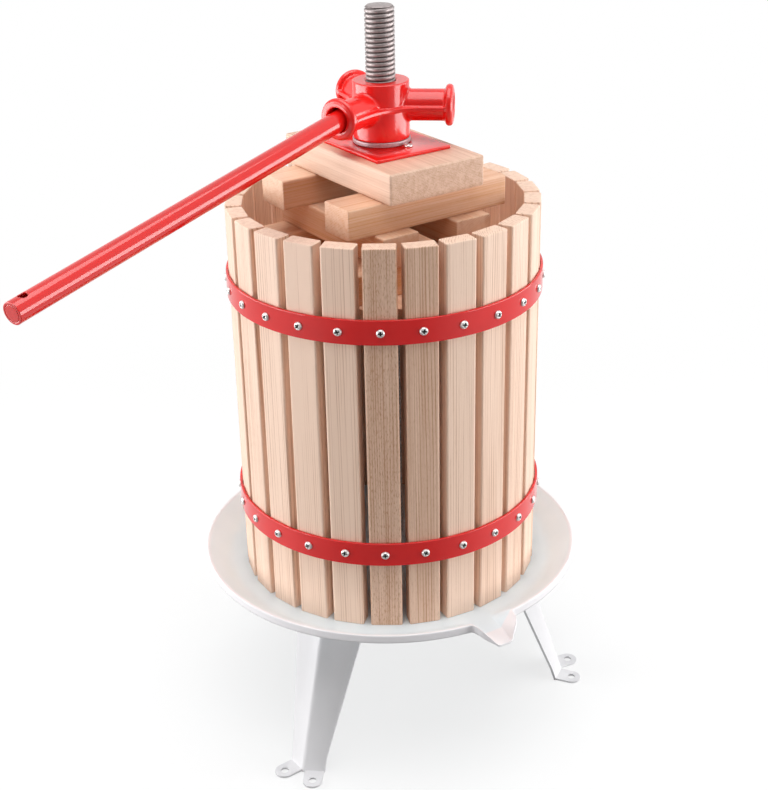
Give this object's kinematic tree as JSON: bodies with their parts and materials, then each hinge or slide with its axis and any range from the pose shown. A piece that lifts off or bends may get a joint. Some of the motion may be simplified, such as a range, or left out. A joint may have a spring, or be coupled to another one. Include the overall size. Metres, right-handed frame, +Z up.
{
  "type": "basket fruit press",
  "caption": "Screw fruit press: slatted round wooden basket on a pressed tray with spout and folded legs, and a cast socket head turned by a loose bar onto stacked blocks.",
  "frame": {"origin": "on the ground, under the axis of the press screw", "axes": "+Z up along the press screw, -Y towards the spout, +X to the right seen from the spout"},
  "size_m": [0.5646, 0.3861, 0.6737],
  "materials": {
    "beech": "planed, bare",
    "red_paint": "gloss paint",
    "red_casting": "gloss paint over a casting",
    "white_enamel": "gloss enamel",
    "screw_steel": "dull, rolled",
    "washer_steel": "turned",
    "bright_screws": "zinc plated"
  },
  "bodies": {
    "stand": {"tray": "white_enamel", "left_leg": "white_enamel", "right_leg": "white_enamel", "rear_leg": "white_enamel", "leg_bolts": "bright_screws", "leg_nuts": "bright_screws", "press_screw": "screw_steel", "base_nuts": "screw_steel", "slat_01": "beech", "slat_02": "beech", "slat_03": "beech", "slat_04": "beech", "slat_05": "beech", "slat_06": "beech", "slat_07": "beech", "slat_08": "beech", "slat_09": "beech", "slat_10": "beech", "slat_11": "beech", "slat_12": "beech", "slat_13": "beech", "slat_14": "beech", "slat_15": "beech", "slat_16": "beech", "slat_17": "beech", "slat_18": "beech", "slat_19": "beech", "slat_20": "beech", "slat_21": "beech", "slat_22": "beech", "slat_23": "beech", "slat_24": "beech", "slat_25": "beech", "upper_hoop": "red_paint", "lower_hoop": "red_paint", "upper_hoop_screws": "bright_screws", "lower_hoop_screws": "bright_screws"},
    "press_stack": {"thrust_washer": "washer_steel", "pressure_plate": "red_paint", "plate_screws": "bright_screws", "top_block": "beech", "lower_front_beam": "beech", "lower_rear_beam": "beech", "middle_left_beam": "beech", "middle_right_beam": "beech", "upper_front_beam": "beech", "upper_rear_beam": "beech", "press_board_left": "beech", "press_board_right": "beech"},
    "head": {"press_head": "red_casting"},
    "turning_bar": {"bar": "red_paint", "bar_plug": "red_paint"}
  },
  "joints": [
    {"name": "press_slide", "type": "slide", "parent": "stand", "child": "press_stack", "axis": [0, 0, 1], "range_m": [-0.055, 0.055]},
    {"name": "head_spin", "type": "hinge", "parent": "press_stack", "child": "head", "pos_m": [0, 0, 0.59], "axis": [0, 0, 1], "range_deg": [-4945, 4945]},
    {"name": "bar_slide", "type": "slide", "parent": "head", "child": "turning_bar", "axis": [-0.912, -0.3871, -0.1357], "range_m": [0, 0.02]}
  ],
  "couplings": [
    {"joint": "press_slide", "follows": "head_spin", "m_per_rad": 0.00063662}
  ]
}
